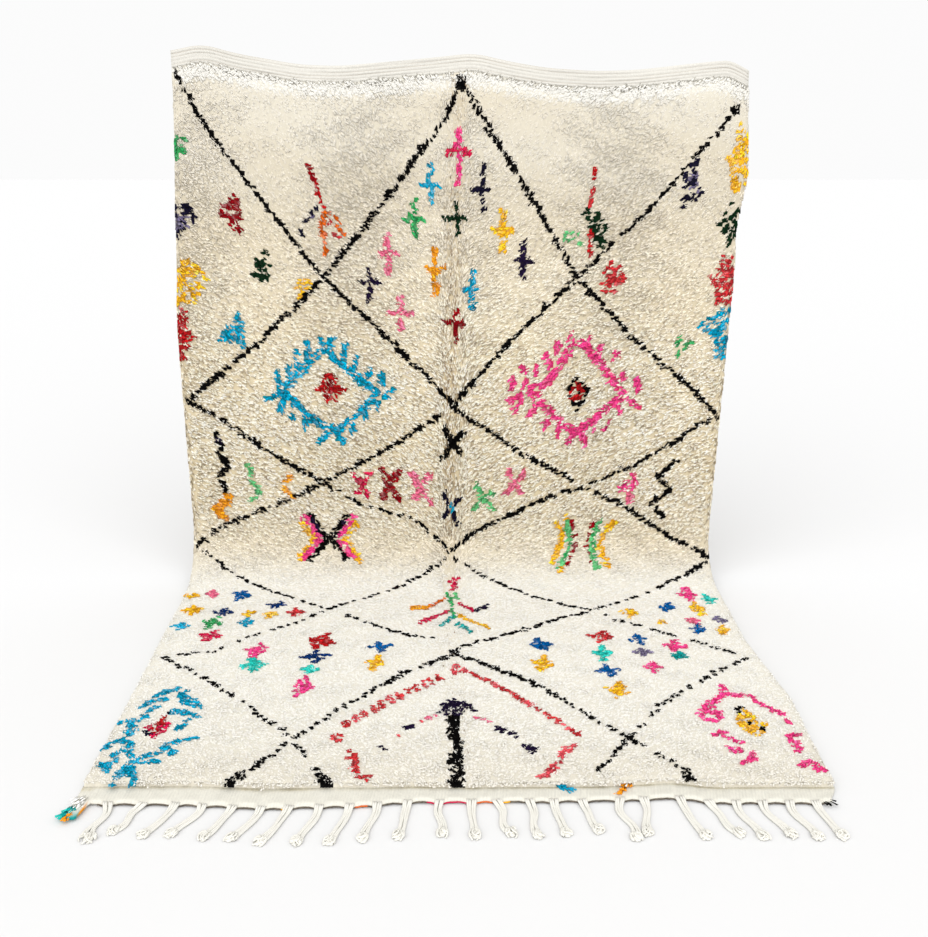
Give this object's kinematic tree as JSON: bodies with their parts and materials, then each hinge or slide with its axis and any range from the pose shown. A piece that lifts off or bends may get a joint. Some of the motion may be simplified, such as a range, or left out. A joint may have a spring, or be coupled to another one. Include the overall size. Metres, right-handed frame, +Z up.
{
  "type": "azilal rug",
  "caption": "Knotted wool pile rug with a lozenge lattice and small coloured motifs, held up by its ribbed heading and run out over the floor to a tasselled fringe.",
  "frame": {"origin": "on the floor, at the middle of the whole rug's plan", "axes": "+X across the rug, +Z up, and +Y from the fringe to the hanging half, so the pile faces -Y and up"},
  "size_m": [1.5973, 1.3311, 1.506],
  "materials": {
    "wool_pile": "matt curly wool pile, cream with motifs in black, pink, blue, green, orange, red and violet",
    "warp_yarn": "matt cream cotton warp yarn"
  },
  "bodies": {
    "root": {"rug": "wool_pile", "fringe": "warp_yarn"}
  },
  "joints": []
}
